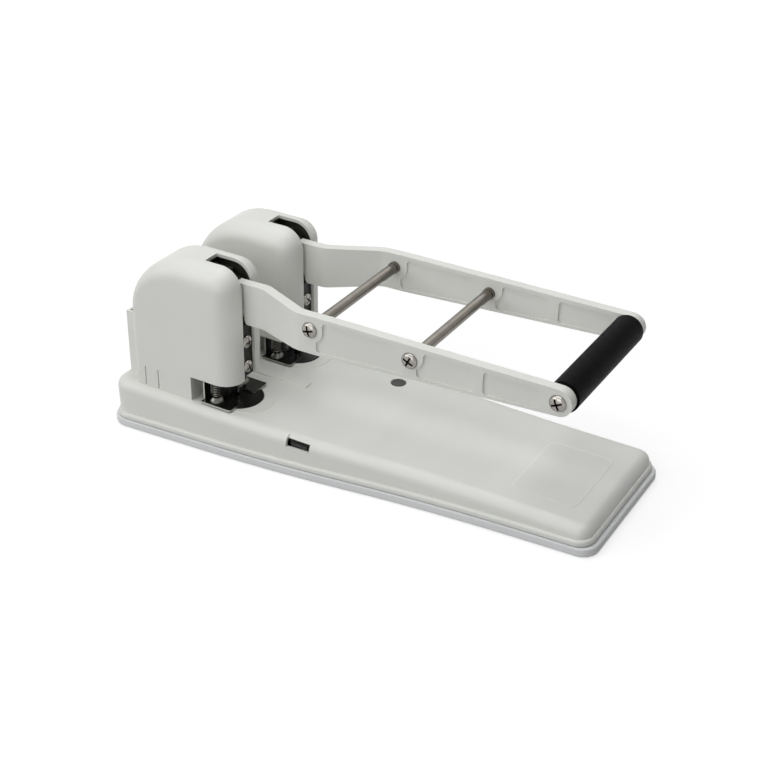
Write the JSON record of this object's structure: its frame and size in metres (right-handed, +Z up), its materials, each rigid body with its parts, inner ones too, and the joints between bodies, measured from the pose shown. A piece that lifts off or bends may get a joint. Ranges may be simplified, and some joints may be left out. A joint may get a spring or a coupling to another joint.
{
  "type": "lever paper punch",
  "caption": "Heavy-duty desk paper punch: a long sloped base, tall punching heads over black dies and a forked lever with a tubular grip.",
  "frame": {"origin": "middle of the bounding box's underside: the foot of the chip tray, on the table", "axes": "+Z up from the table, +X along the base towards the grip, +Y across the base towards the rear head"},
  "size_m": [0.404, 0.1448, 0.1481],
  "materials": {
    "cover_plastic": "moulded, semi-gloss",
    "tray_plastic": "moulded, satin",
    "arm_plastic": "moulded, satin",
    "dark_plastic": "satin",
    "black_plastic": "satin",
    "grip_rubber": "matt, fine ribs",
    "black_steel": "blackened",
    "zinc_steel": "zinc plated",
    "bright_rod": "bright drawn",
    "bright_screw": "nickel plated",
    "polished_steel": "polished",
    "spring_steel": "drawn wire"
  },
  "bodies": {
    "base": {"base_cover": "cover_plastic", "base_plate": "zinc_steel", "bed_plug": "dark_plastic", "frame_screws": "bright_screw", "front_clamp_springs": "spring_steel", "front_die": "black_steel", "front_frame": "zinc_steel", "front_guide_block": "zinc_steel", "front_head_cover": "cover_plastic", "front_pivot_pin": "zinc_steel", "front_punch_spring": "spring_steel", "front_slot_plate": "black_steel", "guide_rail": "zinc_steel", "pivot_clips": "spring_steel", "rear_clamp_springs": "spring_steel", "rear_die": "black_steel", "rear_frame": "zinc_steel", "rear_guide_block": "zinc_steel", "rear_head_cover": "cover_plastic", "rear_pivot_pin": "zinc_steel", "rear_punch_spring": "spring_steel", "rear_slot_plate": "black_steel", "slot_plate_screws": "bright_screw"},
    "lever": {"front_arm": "arm_plastic", "rear_arm": "arm_plastic", "front_cam": "black_steel", "rear_cam": "black_steel", "cam_rivets": "bright_screw", "inner_tie_rod": "bright_rod", "outer_tie_rod": "bright_rod", "handle_core": "zinc_steel", "grip": "grip_rubber", "arm_screws": "bright_screw"},
    "front_punch": {"front_punch_pin": "polished_steel", "front_punch_head": "black_steel"},
    "rear_punch": {"rear_punch_pin": "polished_steel", "rear_punch_head": "black_steel"},
    "front_paper_clamp": {"front_clamp": "polished_steel", "front_clamp_studs": "polished_steel"},
    "rear_paper_clamp": {"rear_clamp": "polished_steel", "rear_clamp_studs": "polished_steel"},
    "guide_bar": {"paper_guide": "black_plastic"},
    "tray": {"chip_tray": "tray_plastic"}
  },
  "joints": [
    {"name": "lever_hinge", "type": "hinge", "parent": "base", "child": "lever", "pos_m": [-0.11203, 0, 0.12747], "axis": [0, -1, 0], "range_deg": [0, 56]},
    {"name": "front_punch_slide", "type": "slide", "parent": "base", "child": "front_punch", "axis": [0.0489, 0, 0.9988], "range_m": [0, 0.0196], "deforming": ["front_punch_spring"]},
    {"name": "front_clamp_slide", "type": "slide", "parent": "base", "child": "front_paper_clamp", "axis": [0.0489, 0, 0.9988], "range_m": [0, 0.0136], "deforming": ["front_clamp_springs"]},
    {"name": "rear_punch_slide", "type": "slide", "parent": "base", "child": "rear_punch", "axis": [0.0489, 0, 0.9988], "range_m": [0, 0.0196], "deforming": ["rear_punch_spring"]},
    {"name": "rear_clamp_slide", "type": "slide", "parent": "base", "child": "rear_paper_clamp", "axis": [0.0489, 0, 0.9988], "range_m": [0, 0.0136], "deforming": ["rear_clamp_springs"]},
    {"name": "guide_slide", "type": "slide", "parent": "base", "child": "guide_bar", "axis": [0, -1, 0], "range_m": [0, 0.08]},
    {"name": "tray_slide", "type": "slide", "parent": "base", "child": "tray", "axis": [0, 0, -1], "range_m": [0, 0.012]}
  ],
  "couplings": [
    {"joint": "front_punch_slide", "follows": "lever_hinge", "m_per_rad": 0.02},
    {"joint": "front_clamp_slide", "follows": "lever_hinge", "m_per_rad": 0.0138},
    {"joint": "rear_punch_slide", "follows": "lever_hinge", "m_per_rad": 0.02},
    {"joint": "rear_clamp_slide", "follows": "lever_hinge", "m_per_rad": 0.0138}
  ]
}
